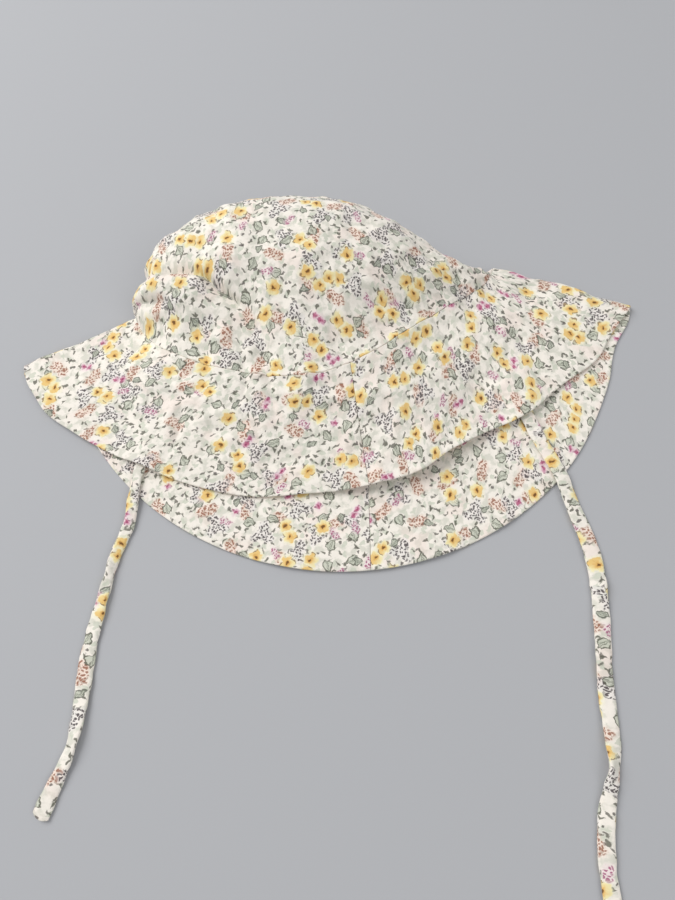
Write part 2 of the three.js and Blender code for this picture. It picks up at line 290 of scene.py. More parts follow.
def printed_cotton(name):
    """The printed cotton as a material: ground, mottling, then each motif over the last, and the weave."""
    material = bpy.data.materials.new(name)
    material.use_nodes = True
    Wire.tree = material.node_tree
    shader = Wire.tree.nodes["Principled BSDF"]
    flat = Wire(node("ShaderNodeUVMap", uv_map="cloth").outputs[0])
    shake = node("ShaderNodeVectorMath", operation="SCALE")
    join(vector("SUBTRACT", Wire(clouds(flat, 2.4, 3).outputs["Color"]), (0.5, 0.5, 0.5)), shake.inputs[0])
    shake.inputs["Scale"].default_value = PRINT_SHAKE
    drawn = vector("ADD", flat, Wire(shake.outputs[0]))

    # Ground: ivory, mottled with pale sage and a little pink.
    sage_mottle = soft_step(Wire(clouds(flat, 4.2, 3).outputs[0]), 0.44, 0.64) * 0.7
    pink_mottle = soft_step(Wire(clouds(flat, 14, 1).outputs[0]), 0.54, 0.7) * 0.35
    cloth = over("F5EEE3", "D0CFC1", sage_mottle)
    cloth = over(cloth, "F3DDD3", pink_mottle)

    # Strokes and dots, sprigs and leaves, each over the ones before it.
    for motif, grid, *sizes_and_inks in MOTIFS:
        cloth = motif(cloth, Scatter(drawn, *grid), *sizes_and_inks)

    # Small magenta blossoms, up to three together.
    scatter = Scatter(drawn, spacing=19, turn=33, start=75.0)
    turn = scatter.chance_3 * 5
    for number, (x, y) in enumerate(((0.0, 0.0), (2.8, 1.0), (0.9, -2.7))):
        present = (scatter.chance < 0.36) * (scatter.chance_3 > 0.38 * number)
        cloth = blossom(cloth, scatter.spot(x, y), present, turn, petals=5, radius=1.5, inks=MAGENTA)

    # Yellow blossoms: single ones, and pairs that touch.
    scatter = Scatter(drawn, spacing=15, turn=19, start=5.0, looseness=0.5)
    present = scatter.chance < 0.36
    turn = scatter.chance_3 * 6
    cloth = blossom(cloth, scatter.spot(), present, turn, petals=5, radius=3.5, inks=YELLOW)
    scatter = Scatter(drawn, spacing=21, turn=57, start=87.0, looseness=0.5)
    present = scatter.chance < 0.42
    turn = scatter.chance_3 * 6
    for x, y, petals, radius in ((-2.9, 0.3, 5, 3.4), (2.9, -0.4, 4, 3.1)):
        cloth = blossom(cloth, scatter.spot(x, y), present, turn, petals, radius, YELLOW)
    Wire.tree.links.new(cloth.socket, shader.inputs["Base Color"])

    # The weave: threads both ways, uneven along their length, over the slight crumple of washed cotton.
    axes = node("ShaderNodeSeparateXYZ")
    join(flat, axes.inputs[0])
    across, along = (Wire(axes.outputs[i]) for i in (0, 1))
    crumple = Wire(clouds(flat, 8, 3).outputs[0])
    per_thread = 2 * math.pi / THREAD_SPACING
    threads = worked_out("SINE", across * per_thread) * worked_out("SINE", along * per_thread)
    slubs = Wire(clouds(flat, 1.6, 4).outputs[0])
    bump = node("ShaderNodeBump")
    bump.inputs["Distance"].default_value = RELIEF * MM
    bump.inputs["Strength"].default_value = 0.6
    join(threads * 0.2 + slubs + crumple * 3, bump.inputs["Height"])
    Wire.tree.links.new(bump.outputs[0], shader.inputs["Normal"])
    shader.inputs["Roughness"].default_value = 0.9
    shader.inputs["Specular IOR Level"].default_value = 0.2
    shader.inputs["Sheen Weight"].default_value = 0.12
    shader.inputs["Sheen Roughness"].default_value = 0.5
    return material


cotton = printed_cotton("printed_cotton")


# Ties
# Two narrow flat tubes of the same cotton, turned and pressed, each sewn into the head seam under the brim.
# They come out between the brim's layers, go over the edge of the lower one and lie on the table to their
# cut ends.
TIE_THICKNESS = 1.6
BRIM_WALL = 1.2
ABOVE_BRIM = 0.35
ABOVE_TABLE = 0.1
OVER_BRIM = BRIM_WALL + ABOVE_BRIM + TIE_THICKNESS / 2
ON_TABLE = TIE_THICKNESS / 2 + ABOVE_TABLE
# Routes of the ties' middles, from the head seam to the cut end: x, y and z
TIE_LEFT_ROUTE = [
    (-94, -5, OVER_BRIM), (-94.5, -20, OVER_BRIM), (-95, -36, OVER_BRIM), (-95.5, -53.5, OVER_BRIM),
    (-96.5, -64, OVER_BRIM), (-97, -72, OVER_BRIM - 0.3), (-97.5, -82, ON_TABLE + 0.2),
    (-99.5, -90, ON_TABLE), (-102, -98, ON_TABLE), (-104, -109, ON_TABLE), (-106, -121, ON_TABLE),
    (-107.8, -133, ON_TABLE), (-108.8, -145, ON_TABLE), (-109, -157, ON_TABLE), (-109.3, -169, ON_TABLE),
    (-110.3, -179, ON_TABLE), (-113, -188.5, ON_TABLE), (-116.5, -198, ON_TABLE), (-119.6, -207, ON_TABLE),
]
TIE_RIGHT_ROUTE = [
    (88, 8, OVER_BRIM), (92, -8, OVER_BRIM), (97, -25, OVER_BRIM), (102, -39, OVER_BRIM),
    (107, -50.5, OVER_BRIM), (111, -60, OVER_BRIM - 0.2), (113.5, -70, ON_TABLE + 0.3), (116, -79, ON_TABLE),
    (119, -89, ON_TABLE), (121, -100, ON_TABLE), (121.3, -114, ON_TABLE), (120.5, -129, ON_TABLE),
    (119.2, -143, ON_TABLE), (118, -157, ON_TABLE), (117.8, -170, ON_TABLE), (117.3, -182, ON_TABLE),
    (115, -193, ON_TABLE), (111.5, -203, ON_TABLE), (109.3, -214, ON_TABLE), (108.4, -226, ON_TABLE),
    (108.8, -238, ON_TABLE), (110, -250, ON_TABLE),
]
# A tie's section along its length: share of the length, width, thickness, and turn in degrees. It rolls over
# at a twist, where it is narrow and thick.
TIE_LEFT_SECTIONS = [
    (0, 6.2, 1.5, 0), (0.23, 5.6, 1.5, 0), (0.27, 5.0, 1.7, 0), (0.32, 5.3, 1.9, 4), (0.38, 5.8, 2.1, 6),
    (0.45, 5.3, 2.1, 14), (0.5, 5.0, 2.6, 34), (0.525, 5.0, 2.8, 10), (0.56, 5.6, 2.3, -12),
    (0.62, 6.2, 1.9, 0), (0.7, 7.2, 1.7, 4), (0.76, 6.9, 1.9, -4), (0.82, 6.1, 2.1, -14),
    (0.855, 5.5, 2.5, -26), (0.89, 5.6, 2.3, -8), (0.94, 6.8, 1.9, 6), (1, 7.6, 1.5, 0),
]
TIE_RIGHT_SECTIONS = [
    (0, 7.6, 1.5, 0), (0.22, 7.2, 1.5, 0), (0.31, 7.4, 1.9, 8), (0.42, 8.3, 1.8, 4), (0.47, 7.4, 2.3, -14),
    (0.52, 7.9, 1.9, 0), (0.6, 7.5, 2.0, 10), (0.66, 7.6, 1.8, 0), (0.735, 7.2, 2.1, 12),
    (0.765, 5.8, 2.9, 42), (0.79, 6.4, 2.5, 6), (0.84, 7.3, 1.9, -8), (0.93, 7.2, 1.8, 0), (1, 7.8, 1.6, 0),
]
ROUTE_STEPS = 4000
TIE_ROWS = 481
TIE_AROUND = 32
TIE_CLOTH_WIDTH = 16
RIPPLE_WAVES = 9
# Finer shape of a tie: its section's squareness, the dent along its middle and its reach, the ripples of its
# faces, the waves of its edges, the length, slant and bow of its cut, and its lowest place
TIE_SQUARENESS = 0.85
DENT = 0.12
DENT_REACH = 0.35
FACE_RIPPLE = 0.1
EDGE_WAVE = 0.16
CUT_LENGTH = 6
CUT_SLANT = 0.12
CUT_BOW = 0.1
LOWEST = 0.04


def through(rows, share):
    """A smooth curve through the rows of a table. At a share of the way it is a cubic between the two rows
    beside it, and its slope at a row is half the step between that row's neighbours."""
    rows = np.asarray(rows, float)
    last = len(rows) - 1
    padded = np.vstack([2 * rows[0] - rows[1], rows, 2 * rows[-1] - rows[-2]])
    place = np.clip(np.asarray(share, float), 0, 1) * last
    index = np.minimum(place.astype(int), last - 1)
    part = (place - index)[..., None]
    before, here, there, after = (padded[index + step] for step in range(4))
    leaving = (there - before) / 2
    arriving = (after - here) / 2
    cubic = 2 * here - 2 * there + leaving + arriving
    square = -3 * here + 3 * there - 2 * leaving - arriving
    return cubic * part**3 + square * part**2 + leaving * part + here


def running_length(points):
    """Distance along a line of points, from its first."""
    steps = np.linalg.norm(np.diff(points, axis=0), axis=1)
    return np.concatenate([[0], np.cumsum(steps)])


def ripples(x, y, size, seed):
    """A smooth field of about -1 to 1: the sum of sine waves of about that size in seeded directions."""
    chance = np.random.default_rng(seed)
    total = 0
    for _ in range(RIPPLE_WAVES):
        heading = chance.uniform(0, 2 * np.pi)
        phase = chance.uniform(0, 2 * np.pi)
        reach = 2 * np.pi / (size * chance.uniform(0.7, 1.5))
        total = total + np.sin((x * np.cos(heading) + y * np.sin(heading)) * reach + phase)
    return total / np.sqrt(RIPPLE_WAVES)


def cloth_piece(name, node_name, points, faces, flat):
    """A piece of cotton from points in millimetres, faces, and the place of each face corner on the flat
    cloth. It stands in for the CAD node of that name."""
    mesh = bpy.data.meshes.new(name)
    mesh.from_pydata((points * MM).tolist(), [], faces)
    layer = mesh.uv_layers.new(name="cloth")
    layer.data.foreach_set("uv", flat.astype(np.float32).ravel())
    mesh.polygons.foreach_set("use_smooth", np.ones(len(faces), bool))
    mesh.materials.append(cotton)
    piece = bpy.data.objects.new(name, mesh)
    bpy.context.scene.collection.objects.link(piece)
    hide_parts(node_name)
    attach(piece, "root")
    return piece


def tie(name, node_name, route, sections, cloth_start, seed):
    """A flat tube carried along its route. Its section is an oval, width across and thickness high, pinched a
    little along its middle, turned about its length as the table says and lifted to lie on what is under it.
    Its values are evened out over seven rows, and its end is cut on a slant."""
    route = np.array(route, float)
    route[:, :2] += HAT_MIDDLE
    fine = through(route, np.linspace(0, 1, ROUTE_STEPS))
    length = running_length(fine)
    at = np.linspace(0, length[-1], TIE_ROWS)
    centre = np.stack([np.interp(at, length, fine[:, axis]) for axis in range(3)], 1)
    share, width, thickness, turn = np.array(sections).T
    place = at / at[-1]
    half_width = np.interp(place, share, width) / 2
    half_height = np.interp(place, share, thickness) / 2
    roll = np.radians(np.interp(place, share, turn))
    for values in (half_width, half_height, roll):
        values[3:-3] = np.convolve(values, np.ones(7) / 7, "valid")
    under = centre[:, 2] - TIE_THICKNESS / 2
    centre[:, 2] = under + np.hypot(half_width * np.sin(roll), half_height * np.cos(roll))
    ahead = np.gradient(centre, axis=0)
    ahead /= np.linalg.norm(ahead, axis=1)[:, None]
    side = np.cross(ahead, (0, 0, 1))
    side /= np.linalg.norm(side, axis=1)[:, None]
    up = np.cross(side, ahead)
    round_it = np.linspace(0, 2 * np.pi, TIE_AROUND, endpoint=False)[None, :]
    across = np.sign(np.cos(round_it)) * np.abs(np.cos(round_it)) ** TIE_SQUARENESS
    along = at[:, None]
    pinch = DENT * np.exp(-((across / DENT_REACH) ** 2)) - FACE_RIPPLE * ripples(along, across * 3, 6, seed)
    edge_wave = EDGE_WAVE * ripples(along, across, 9, seed + 1)
    wide = across * (half_width[:, None] + edge_wave)
    high = np.sin(round_it) * half_height[:, None] * (1 - pinch)
    turned_wide = wide * np.cos(roll)[:, None] - high * np.sin(roll)[:, None]
    turned_high = wide * np.sin(roll)[:, None] + high * np.cos(roll)[:, None]
    points = centre[:, None] + side[:, None] * turned_wide[..., None] + up[:, None] * turned_high[..., None]
    near_cut = np.clip((along - (at[-1] - CUT_LENGTH)) / CUT_LENGTH, 0, 1)
    cut = -near_cut * (CUT_SLANT * turned_wide + CUT_BOW * turned_wide**2)
    points += ahead[:, None] * cut[..., None]
    points[..., 2] = np.maximum(points[..., 2], LOWEST)
    points = np.vstack([points.reshape(-1, 3), centre[:1], centre[-1:]])
    ring = np.arange(TIE_AROUND)
    after = (ring + 1) % TIE_AROUND
    start = np.arange(TIE_ROWS - 1)[:, None] * TIE_AROUND
    following = start + TIE_AROUND
    sides = np.stack([start + ring, start + after, following + after, following + ring], -1)
    sides = sides.reshape(-1, 4)[:, ::-1]
    last = (TIE_ROWS - 1) * TIE_AROUND
    first_cap = np.stack([ring, after, np.full(TIE_AROUND, TIE_ROWS * TIE_AROUND)], -1)
    last_cap = np.stack([last + after, last + ring, np.full(TIE_AROUND, TIE_ROWS * TIE_AROUND + 1)], -1)
    flat_across = np.append(np.tile(ring / TIE_AROUND * TIE_CLOTH_WIDTH, TIE_ROWS), (0, 0))
    flat_along = np.append(np.repeat(at, TIE_AROUND), (at[0], at[-1]))
    flat = np.stack([flat_across, flat_along], 1) + cloth_start
    corners = flat[sides]
    wraps = (corners[..., 0].max(1) - corners[..., 0].min(1))[:, None] > TIE_CLOTH_WIDTH / 2
    corners[..., 0] += TIE_CLOTH_WIDTH * (wraps & (corners[..., 0] < cloth_start[0] + TIE_CLOTH_WIDTH / 2))
    caps = [flat[cap].reshape(-1, 2) for cap in (first_cap, last_cap)]
    corners = np.concatenate([corners.reshape(-1, 2), *caps])
    faces = sides.tolist() + first_cap.tolist() + last_cap.tolist()
    piece = cloth_piece(name, node_name, points, faces, corners)


tie("tie_left_cotton", "tie_left", TIE_LEFT_ROUTE, TIE_LEFT_SECTIONS, cloth_start=(310, 12), seed=3)
tie("tie_right_cotton", "tie_right", TIE_RIGHT_ROUTE, TIE_RIGHT_SECTIONS, cloth_start=(410, 40), seed=8)


# Brim
# Two halves of a flat ring, doubled, sewn to each other at the middle of the front and of the back and to
# the crown at the head seam. The brim is folded at both sides, so that its front lies over its back with the
# mouth between them.
BRIM_CENTRE = (3, 42.7)
BRIM_RADIUS = 149
HEAD_SEAM_RADIUS = 89
# Ends of the lower layer's arcs: angle in degrees, reach past the circle, and the angle from which it is left
LEFT_TIP = (-76.1, 20.5, -57)
RIGHT_TIP = (88.5, 9.6, 74)
LEFT_SEAM_END = (-82, 20.1, -50)
RIGHT_SEAM_END = (101.3, 2.2, 80)
# Head seam and outer edge of the upper layer, from the left fold to the right one: x, y, z of each
UPPER_BRIM = [
    (-105, 27.5, 5.2, -161.2, 2.2, 3.2),
    (-98.5, 16, 8, -149.5, -22.5, 3),
    (-86, 5, 12, -130, -37, 3),
    (-73, -2, 15.5, -109.5, -48.5, 3.6),
    (-61, -6.5, 17.5, -95, -54.5, 5.4),
    (-46, -10.5, 19, -74, -63, 3.6),
    (-29, -13, 20, -43, -70, 3.4),
    (-11, -12.5, 20.5, -14, -69, 4.2),
    (6, -7, 20.5, 14, -66, 6.2),
    (23, 3, 20, 40, -59, 8.6),
    (39, 14.5, 18, 58, -47, 7.6),
    (54, 26, 15.5, 78, -36, 5),
    (67, 36.5, 13, 97.5, -27, 5.6),
    (78, 45, 10.5, 118, -10, 3.6),
    (86.5, 53.5, 8.5, 141, 8, 3.2),
    (92.5, 60.5, 6.6, 161, 37.5, 3.2),
]
BRIM_DRAPE = 1.6
BRIM_WIDTH = 60
BRIM_HALF_RING = 330
BRIM_CLOTH = 1.1
# Where the halves meet at the front and the back, in shares of the way from the left fold to the right one,
# and half the gap between them
CENTRE_FRONT = 0.54
CENTRE_BACK = 0.495
HALF_GAP = 0.04
# Edges: how far the upper one settles, how far in the cloth thins at a turned edge and at a seam, and the
# shares of that distance at which it has rows
EDGE_SETTLE = 0.8
TURNED_EDGE = 0.8
SEAM_EDGE = 0.25
EDGE_ROWS = (0, 0.08, 0.3, 0.62, 1)
# The line of stitching along the edge: how far in, depth, reach, and the length of a pucker over 2 pi
EDGE_STITCHING = 2.4
STITCH_DEPTH = 0.22
STITCH_REACH = 0.9
PUCKER_LENGTH = 0.9
# The lower layer's bare front edge: where it starts, how soon it is wholly bare, and its lift
BARE_FROM = -74
BARE_EASE = 14
BARE_LIFT = 0.7
BRIM_ROWS = 58
BRIM_COLUMNS = 176
UPPER_COLUMN = 40
ROLL_STEPS = 12
CREASE_STEPS = 41
# Creases of the upper layer and the crown: the line of each, then its depth and width
CREASES = [
    ([(-102, 48), (-97.5, 42), (-88, 43), (-76, 41), (-67, 37), (-60, 29), (-51, 22), (-42, 12), (-36, -2)],
     8, 7.5),
    ([(-92, 43), (-80, 42.5), (-69, 38.5), (-62, 31.5), (-55, 25), (-48, 20), (-41, 12)], 3.2, 2.4),
    ([(42, 64), (50, 55), (58, 47), (67, 39)], 4, 9),
    ([(-109, 32), (-103, 30), (-97, 27.5), (-90, 25.5), (-83, 24)], 4.2, 2.8),
    ([(-76, 16), (-69, 7), (-64, -2), (-62, -12)], 1.8, 3),
    ([(-50, 8), (-45, -4), (-44, -16), (-47, -27)], 1.6, 2.6),
    ([(-36, 0), (-34, -9), (-31, -20), (-29, -33)], 2.0, 2.8),
    ([(-8, 2), (-9, -12), (-13, -27)], 0.9, 3),
    ([(28, 18), (26, 4), (27, -10)], 1.0, 3.2),
    ([(46, 32), (51, 22), (58, 10)], 1.4, 3.2),
    ([(63, 52), (70, 38), (79, 26)], 1.5, 3),
    ([(-84, -55), (-79, -44), (-76, -32), (-78, -20)], 1.5, 3.4),
    ([(-110, -45), (-106, -34), (-106, -22)], 1.2, 3.6),
    ([(90, -32), (82, -19), (72, -9), (60, -4)], 1.7, 4),
    ([(110, -17), (107, -4), (101, 8), (97, 22)], 1.3, 3.6),
    ([(139, 9), (129, -5), (118, -12)], 1.2, 5),
    ([(-136, 6), (-128, -4), (-116, -9), (-102, -9)], 1.1, 5),
    ([(108, 55), (104, 44), (107, 33)], 1.2, 4),
    ([(126, 48), (124, 38), (128, 28)], 1.0, 4),
]
# Small pushes of the cloth as seen from above: the place, how far round it, and the step in x and y
PUSHES = [
    (94, 61, 12, -6, -2.4),
    (81, 59, 5, 0, 1.6),
    (-161, 1, 5, -0.9, -2.0),
    (-158, -8, 7.5, -2.6, 0),
    (-104, 54, 4.5, -2.2, 0),
    (-102, 47, 5, -0.5, 0.2),
    (-108, 33, 6, -1.7, 0),
    (-4.5, 95, 7.5, 0, 3.6),
    (-24, 96, 8, 0, 0.4),
    (12, 90, 6, 0, 0.4),
    (26, 84, 5, -1, -1.2),
    (46, 74, 6, 0.5, 0.7),
    (108, 57, 5, 0, -1.4),
    (125, 51, 6, 0, 0.9),
    (143, 44, 6, 0, -1.2),
    (152, 18, 13, -2.4, 0.3),
    (132, -22, 22, -0.9, 0.4),
    (-137, 16, 12, 0, -1.2),
]
# Small waves of the upper cloth: height, length and seed of each kind, and the share of them that is kept
BROAD_WAVES = (0.9, 42, 5)
SHARP_WAVES = (0.55, 24, 6)
FINE_WAVES = (0.25, 9, 7)
WAVES_KEPT = 0.85
# Cloth below the first height stays still, and cloth above the second one moves freely
STILL_HEIGHT = 1
FREE_HEIGHT = 6
SEAM_FADE = 12


def normals_of(points):
    """Unit normals of a grid of points, from the cross product of its steps across and down."""
    normal = np.cross(np.gradient(points, axis=1), np.gradient(points, axis=0))
    return normal / np.maximum(np.linalg.norm(normal, axis=-1, keepdims=True), 1e-9)


def pressed(points, seam_distance):
    """Points of the upper cloth, moved as its creases, small waves and pushes move it. A crease sinks a point
    by its depth times (0.7 exp(-(d/width)^2) + 0.3 exp(-(3d/width)^2)), d being the distance to its line, and
    fades towards the line's ends as a sine to the power 0.7. A wave is its height times ripples, and a sharp
    one its height times (1 - 2 |ripples|). They move the cloth square to itself, and straight up and down at
    the head seam, where two pieces meet. They fade out downwards, so that the layer on the table stays flat.
    A push moves a point by its step times exp(-(distance/reach)^2)."""
    moved = points.copy()
    x = points[..., 0] - HAT_MIDDLE[0]
    y = points[..., 1] - HAT_MIDDLE[1]
    lifted = np.clip((points[..., 2] - STILL_HEIGHT) / (FREE_HEIGHT - STILL_HEIGHT), 0, 1)
    for place_x, place_y, reach, step_x, step_y in PUSHES:
        near = np.exp(-(((x - place_x) ** 2 + (y - place_y) ** 2) / reach**2))
        moved[..., 0] += near * step_x
        moved[..., 1] += near * step_y
    drop = 0
    share = np.linspace(0, 1, CREASE_STEPS)
    for line, depth, width in CREASES:
        drawn = through(line, share)
        apart = np.hypot(x[..., None] - drawn[:, 0], y[..., None] - drawn[:, 1])
        nearest = apart.argmin(-1)
        distance = apart.min(-1)
        fade = np.sin(np.pi * np.clip(share[nearest] * 0.9 + 0.05, 0, 1)) ** 0.7
        drop = drop + depth * fade * (
            0.7 * np.exp(-((distance / width) ** 2)) + 0.3 * np.exp(-((3 * distance / width) ** 2))
        )
    broad, fine = (height * ripples(x, y, length, seed) for height, length, seed in (BROAD_WAVES, FINE_WAVES))
    height, length, seed = SHARP_WAVES
    sharp = height * (1 - 2 * np.abs(ripples(x, y, length, seed)))
    wave = broad + sharp + fine
    normal = normals_of(points)
    normal *= np.sign(normal[..., 2].ravel()[points[..., 2].argmax()])
    away = np.clip(seam_distance / SEAM_FADE, 0, 1)[..., None]
    way = normal * away + np.array([0, 0, 1]) * (1 - away)
    way /= np.linalg.norm(way, axis=-1, keepdims=True)
    return moved + way * (lifted * (wave * WAVES_KEPT - drop))[..., None]


def arc_point(share, radius, left_end, right_end):
    """A point of the flat lower layer: on the circle of a seam or edge, whose radius grows towards each end
    by that end's reach times p^2 (3 - 2p), p being the share of the way from the angle where it is left."""
    angle = left_end[0] + (right_end[0] - left_end[0]) * share
    reach = radius + 0 * angle
    for end_angle, end_reach, bend_from in (left_end, right_end):
        part = np.clip((angle - bend_from) / (end_angle - bend_from), 0, 1)
        reach = reach + end_reach * part * part * (3 - 2 * part)
    turn = np.radians(angle)
    x = BRIM_CENTRE[0] + reach * np.sin(turn)
    y = BRIM_CENTRE[1] - reach * np.cos(turn)
    return np.stack([x, y, 0 * turn], -1)


def upper_brim(share, out):
    """Middle of the upper layer's cloth: from the head seam to the outer edge in a straight line as seen from
    above, falling first fast and then slowly, as 1 - (1 - out)^BRIM_DRAPE, and lowered by EDGE_SETTLE times
    out."""
    rows = through(UPPER_BRIM, share)
    seam, edge = rows[..., :3], rows[..., 3:]
    point = seam + (edge - seam) * out[..., None]
    fall = 1 - (1 - out) ** BRIM_DRAPE
    point[..., 2] = seam[..., 2] + (edge[..., 2] - seam[..., 2]) * fall - EDGE_SETTLE * out
    return point


def lower_brim(share, out):
    """Middle of the lower layer's cloth, flat on the table. Where it lies bare, it lifts here and there by
    BARE_LIFT times (1 + ripples) times out^2."""
    seam = arc_point(share, HEAD_SEAM_RADIUS, LEFT_SEAM_END, RIGHT_SEAM_END)
    edge = arc_point(share, BRIM_RADIUS, LEFT_TIP, RIGHT_TIP)
    point = seam + (edge - seam) * out[..., None]
    bare = np.clip((BARE_FROM - point[..., 1]) / BARE_EASE, 0, 1)
    lift = BARE_LIFT * bare * (1 + ripples(point[..., 0], point[..., 1], size=34, seed=11)) * out**2
    point[..., 2] = BRIM_WALL / 2 + np.maximum(lift, 0)
    return point


def side_roll(share, out):
    """The half turn of cloth at a side fold: a half circle between the two layers, square to the fold."""
    top = upper_brim(np.full_like(out, share), out)
    bottom = lower_brim(np.full_like(out, share), out)
    row = through(UPPER_BRIM, share)
    along = (row[3:5] - row[:2]) / np.linalg.norm(row[3:5] - row[:2])
    outward = np.array([-along[1], along[0], 0])
    outward *= np.sign(outward[1])
    turn = (np.pi * np.arange(1, ROLL_STEPS + 1) / (ROLL_STEPS + 1))[None, :, None]
    middle = ((top + bottom) / 2)[:, None, :]
    radius = ((top - bottom)[:, 2] / 2)[:, None, None]
    lean = (top - bottom)[:, None, :] * np.cos(turn) / 2
    return middle + lean + outward * radius * np.sin(turn)


def edged(count, total, ease):
    """Shares from 0 to 1 with a few close ones at both ends, so that a turned edge of that ease in
    millimetres is round on a length of total millimetres."""
    close = np.array(EDGE_ROWS) * ease / total
    return np.concatenate([close, np.linspace(close[-1], 1 - close[-1], count)[1:-1], (1 - close)[::-1]])


def edge_ease(distance, ease):
    """0 at a turned edge and 1 from ease inwards, with a quarter circle between."""
    outside = 1 - np.clip(distance / ease, 0, 1)
    return np.sqrt(1 - outside * outside)


def grid_faces(index):
    """Quads of a grid of vertex numbers."""
    return np.stack([index[:-1, :-1], index[1:, :-1], index[1:, 1:], index[:-1, 1:]], -1).reshape(-1, 4)


def brim_half(name, node_name, fold, cloth_start, under_start):
    """Half of the brim, as a closed shell round its middle surface: from the centre front seam out to its
    side fold, round it and back to the centre back. fold is 0 for the left half and 1 for the right. Its map
    is a flat ring's: a step along it turns by its length over its distance from the ring's centre. The step
    is the middle row's, and at the fold that of the row where it turns most."""
    out = edged(BRIM_ROWS, BRIM_WIDTH, TURNED_EDGE)
    apart = (HALF_GAP if fold else -HALF_GAP) / BRIM_HALF_RING
    # The fold is no edge, so the close shares at that end are left out.
    to_fold = edged(BRIM_COLUMNS, BRIM_HALF_RING / 2, SEAM_EDGE)[: 1 - len(EDGE_ROWS)]
    upper_share = CENTRE_FRONT + apart + (fold - CENTRE_FRONT - apart) * to_fold / to_fold[-1]
    lower_share = CENTRE_BACK + apart + (fold - CENTRE_BACK - apart) * (to_fold / to_fold[-1])[::-1]
    out_grid, upper_grid = np.meshgrid(out, upper_share, indexing="ij")
    lower_grid = np.meshgrid(out, lower_share, indexing="ij")[1]
    layers = [upper_brim(upper_grid, out_grid), side_roll(fold, out), lower_brim(lower_grid, out_grid)]
    middle = np.concatenate(layers, 1)
    middle[..., :2] += HAT_MIDDLE
    middle = pressed(middle, (out * BRIM_WIDTH)[:, None])
    rows, columns = middle.shape[:2]
    normal = normals_of(middle)
    normal *= np.sign(normal[rows // 2, UPPER_COLUMN, 2])
    radial = (out * BRIM_WIDTH)[:, None]
    ring = running_length(middle[rows // 2])[None, :]
    half = BRIM_CLOTH / 2 * edge_ease(radial, SEAM_EDGE) * edge_ease(BRIM_WIDTH - radial, TURNED_EDGE)
    half = half * edge_ease(np.minimum(ring, ring[0, -1] - ring), SEAM_EDGE)
    pucker = 0.6 + 0.4 * np.sin(ring / PUCKER_LENGTH + 3 * ripples(ring, radial, size=30, seed=4))
    off_stitching = (BRIM_WIDTH - radial - EDGE_STITCHING) / STITCH_REACH
    half = half - STITCH_DEPTH * pucker * np.exp(-(off_stitching**2))
    half = np.maximum(half, 0)
    over_it = middle + normal * half[..., None]
    under_it = middle - normal * half[..., None]
    number = np.arange(rows * columns).reshape(rows, columns)
    under_number = number.copy()
    inside = np.arange((rows - 2) * (columns - 2)).reshape(rows - 2, columns - 2)
    under_number[1:-1, 1:-1] = rows * columns + inside
    points = np.vstack([over_it.reshape(-1, 3), under_it[1:-1, 1:-1].reshape(-1, 3)])
    reach = HEAD_SEAM_RADIUS + radial
    turns = np.linalg.norm(np.diff(middle, axis=1), axis=-1) / reach
    at_fold = slice(len(upper_share) - 1, len(upper_share) + ROLL_STEPS)
    turn = turns[rows // 2]
    turn[at_fold] = turns[:, at_fold].max(0)
    turn = np.append(0, np.cumsum(turn))[None, :]
    flat = np.stack([reach * np.sin(turn), reach * np.cos(turn)], -1).reshape(-1, 2)
    over_faces = grid_faces(number)
    under_faces = grid_faces(under_number)[:, ::-1]
    over_corners = flat[over_faces] + cloth_start
    under_corners = flat[over_faces[:, ::-1]] * (-1, 1) + under_start
    corners = np.vstack([over_corners, under_corners])
    faces = np.vstack([over_faces, under_faces])
    upward = np.cross(np.gradient(middle, axis=0), np.gradient(middle, axis=1))[rows // 2, UPPER_COLUMN, 2]
    if upward < 0:
        faces = faces[:, ::-1]
        corners = corners[:, ::-1]
    piece = cloth_piece(name, node_name, points, faces.tolist(), corners.reshape(-1, 2))


brim_half("brim_left_cotton", "brim_left", fold=0, cloth_start=(700, 100), under_start=(1500, 60))
brim_half("brim_right_cotton", "brim_right", fold=1, cloth_start=(1100, 300), under_start=(2100, 20))


# Crown
# A soft bag for the head, gathered a little into the head seam. It lies puffed up with its left side round
# like a cushion, a deep crease across its left part, and its right shoulder sloping down flat to the side
# fold.
CROWN_WALL = 1.4
# Rings of the crown from the seam to the back: left x, y; right x, y; top; side; rounding from the left and
# from the right; share of the seam's bow that the upper and the lower layer keep
CROWN = [
    (-105, 27.5, 92.5, 60.5, 20, 3.3, 3.5, 4.5, 1, 1),
    (-107, 36, 84.5, 58.5, 29, 5.5, 16, 60, 0.66, 0.76),
    (-103.5, 45.5, 73.5, 56, 36, 9, 40, 90, 0.38, 0.54),
    (-101, 55, 62, 60.5, 41, 12, 70, 90, 0.16, 0.36),
    (-95, 66, 51.5, 67.5, 42.5, 13, 72, 85, 0, 0.2),
    (-83.5, 75.5, 39.5, 74.5, 41, 13, 61, 70, 0, 0.1),
    (-67.5, 83.5, 28, 81.5, 36, 13, 48, 50, 0, 0.03),
    (-48.5, 90.5, 16.5, 88.5, 28.5, 13, 32, 32, 0, 0),
    (-30.5, 95, 2, 94.5, 21, 13, 16, 16, 0, 0),
]
CROWN_BACK = (-13, 97.8, 13)
BACK_LIFT_FROM = 0.68
BACK_LIFT = 8
UNDER_ROUND = 14
SEAM_BLEND = 0.2
SOFT_CORNER = 0.16
CROWN_DEPTH = 130
CROWN_ROWS = 104
CROWN_UPPER_COLUMNS = 190
CROWN_LOWER_COLUMNS = 100
CAP_RINGS = 10
SEAM_STEPS = 400
SEAM_REACH = 12
SIDE_ROUND = 22
# Cloth that faces down more than this shows the underside's print, which is cut so far from the rest
FACING_DOWN = -0.9
UNDERSIDE_APART = 300


